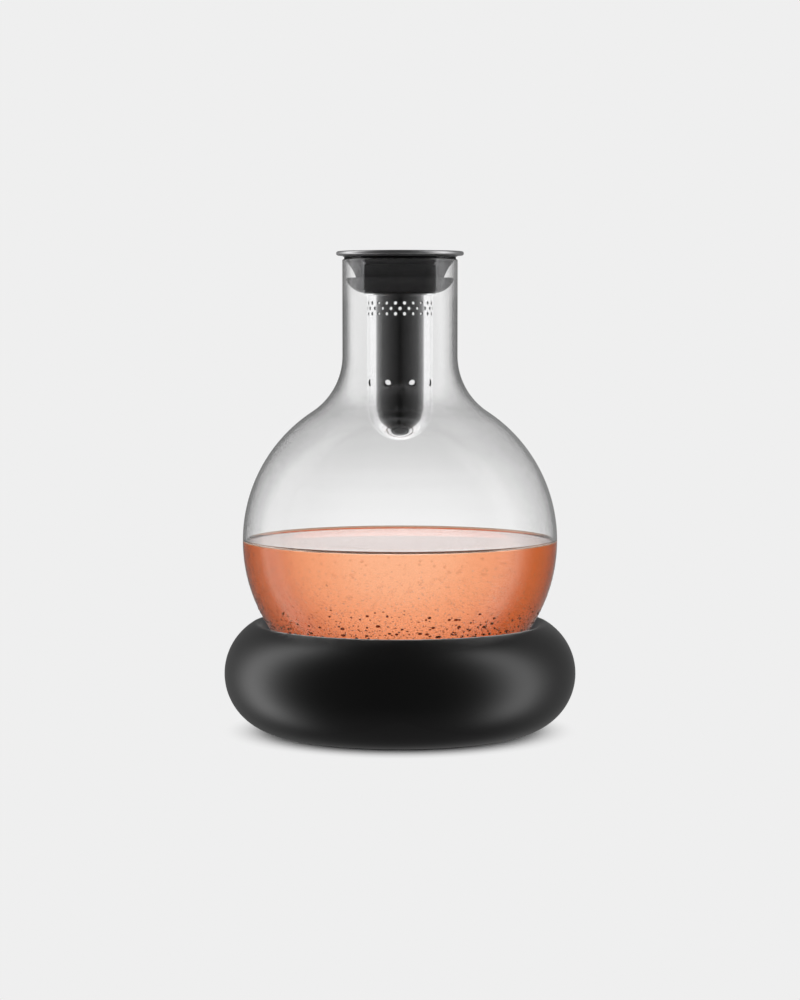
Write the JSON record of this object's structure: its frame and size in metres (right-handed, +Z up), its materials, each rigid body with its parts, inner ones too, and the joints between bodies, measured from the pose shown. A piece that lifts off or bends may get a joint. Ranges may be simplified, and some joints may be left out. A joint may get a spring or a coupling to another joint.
{
  "type": "carafe",
  "caption": "Glass ball carafe with a steel pouring rim and flip lid, a perforated ice tube under its stopper and a ring-shaped cooling base.",
  "frame": {"origin": "on the table under the middle of the base", "axes": "+Z up along the carafe's axis, -Y towards the viewer and the pouring side, lid hinge at +Y"},
  "size_m": [0.1658, 0.1658, 0.2261],
  "materials": {
    "glass": "clear blown glass",
    "polished_steel": "mirror polished stainless steel",
    "silicone": "black soft silicone",
    "base_black": "black soft-touch",
    "inner_black": "black moulded",
    "rubber_foot": "black rubber",
    "cold_pack": "moulded skin with gel inside",
    "plug_plastic": "moulded",
    "screw_steel": "zinc plated",
    "drink": "clear liquid with an orange pink tint"
  },
  "bodies": {
    "base": {"base_shell": "base_black", "base_well": "inner_black", "base_plate": "inner_black", "base_screws": "screw_steel", "foot_ring": "rubber_foot", "seat_ring": "silicone", "cooling_element": "cold_pack", "filling_plug": "plug_plastic"},
    "carafe": {"carafe_glass": "glass"},
    "stopper": {"stopper_seal": "silicone", "stopper_core": "inner_black", "pouring_collar": "polished_steel", "lid_gasket": "silicone", "hinge_bracket": "polished_steel", "hinge_pin": "polished_steel"},
    "lid": {"flip_lid": "polished_steel", "lid_weight": "polished_steel"},
    "ice_core": {"ice_tube": "polished_steel", "tube_ring": "inner_black", "tube_cord": "silicone"}
  },
  "joints": [
    {"name": "carafe_lift", "type": "slide", "parent": "base", "child": "carafe", "axis": [0, 0, 1], "range_m": [0, 0.06]},
    {"name": "stopper_pull", "type": "slide", "parent": "carafe", "child": "stopper", "axis": [0, 0, 1], "range_m": [0, 0.1]},
    {"name": "lid_flip", "type": "hinge", "parent": "stopper", "child": "lid", "pos_m": [0, 0.022, 0.22503], "axis": [-1, 0, 0], "range_deg": [0, 75]},
    {"name": "tube_unplug", "type": "slide", "parent": "stopper", "child": "ice_core", "axis": [0, 0, -1], "range_m": [0, 0.04]}
  ]
}
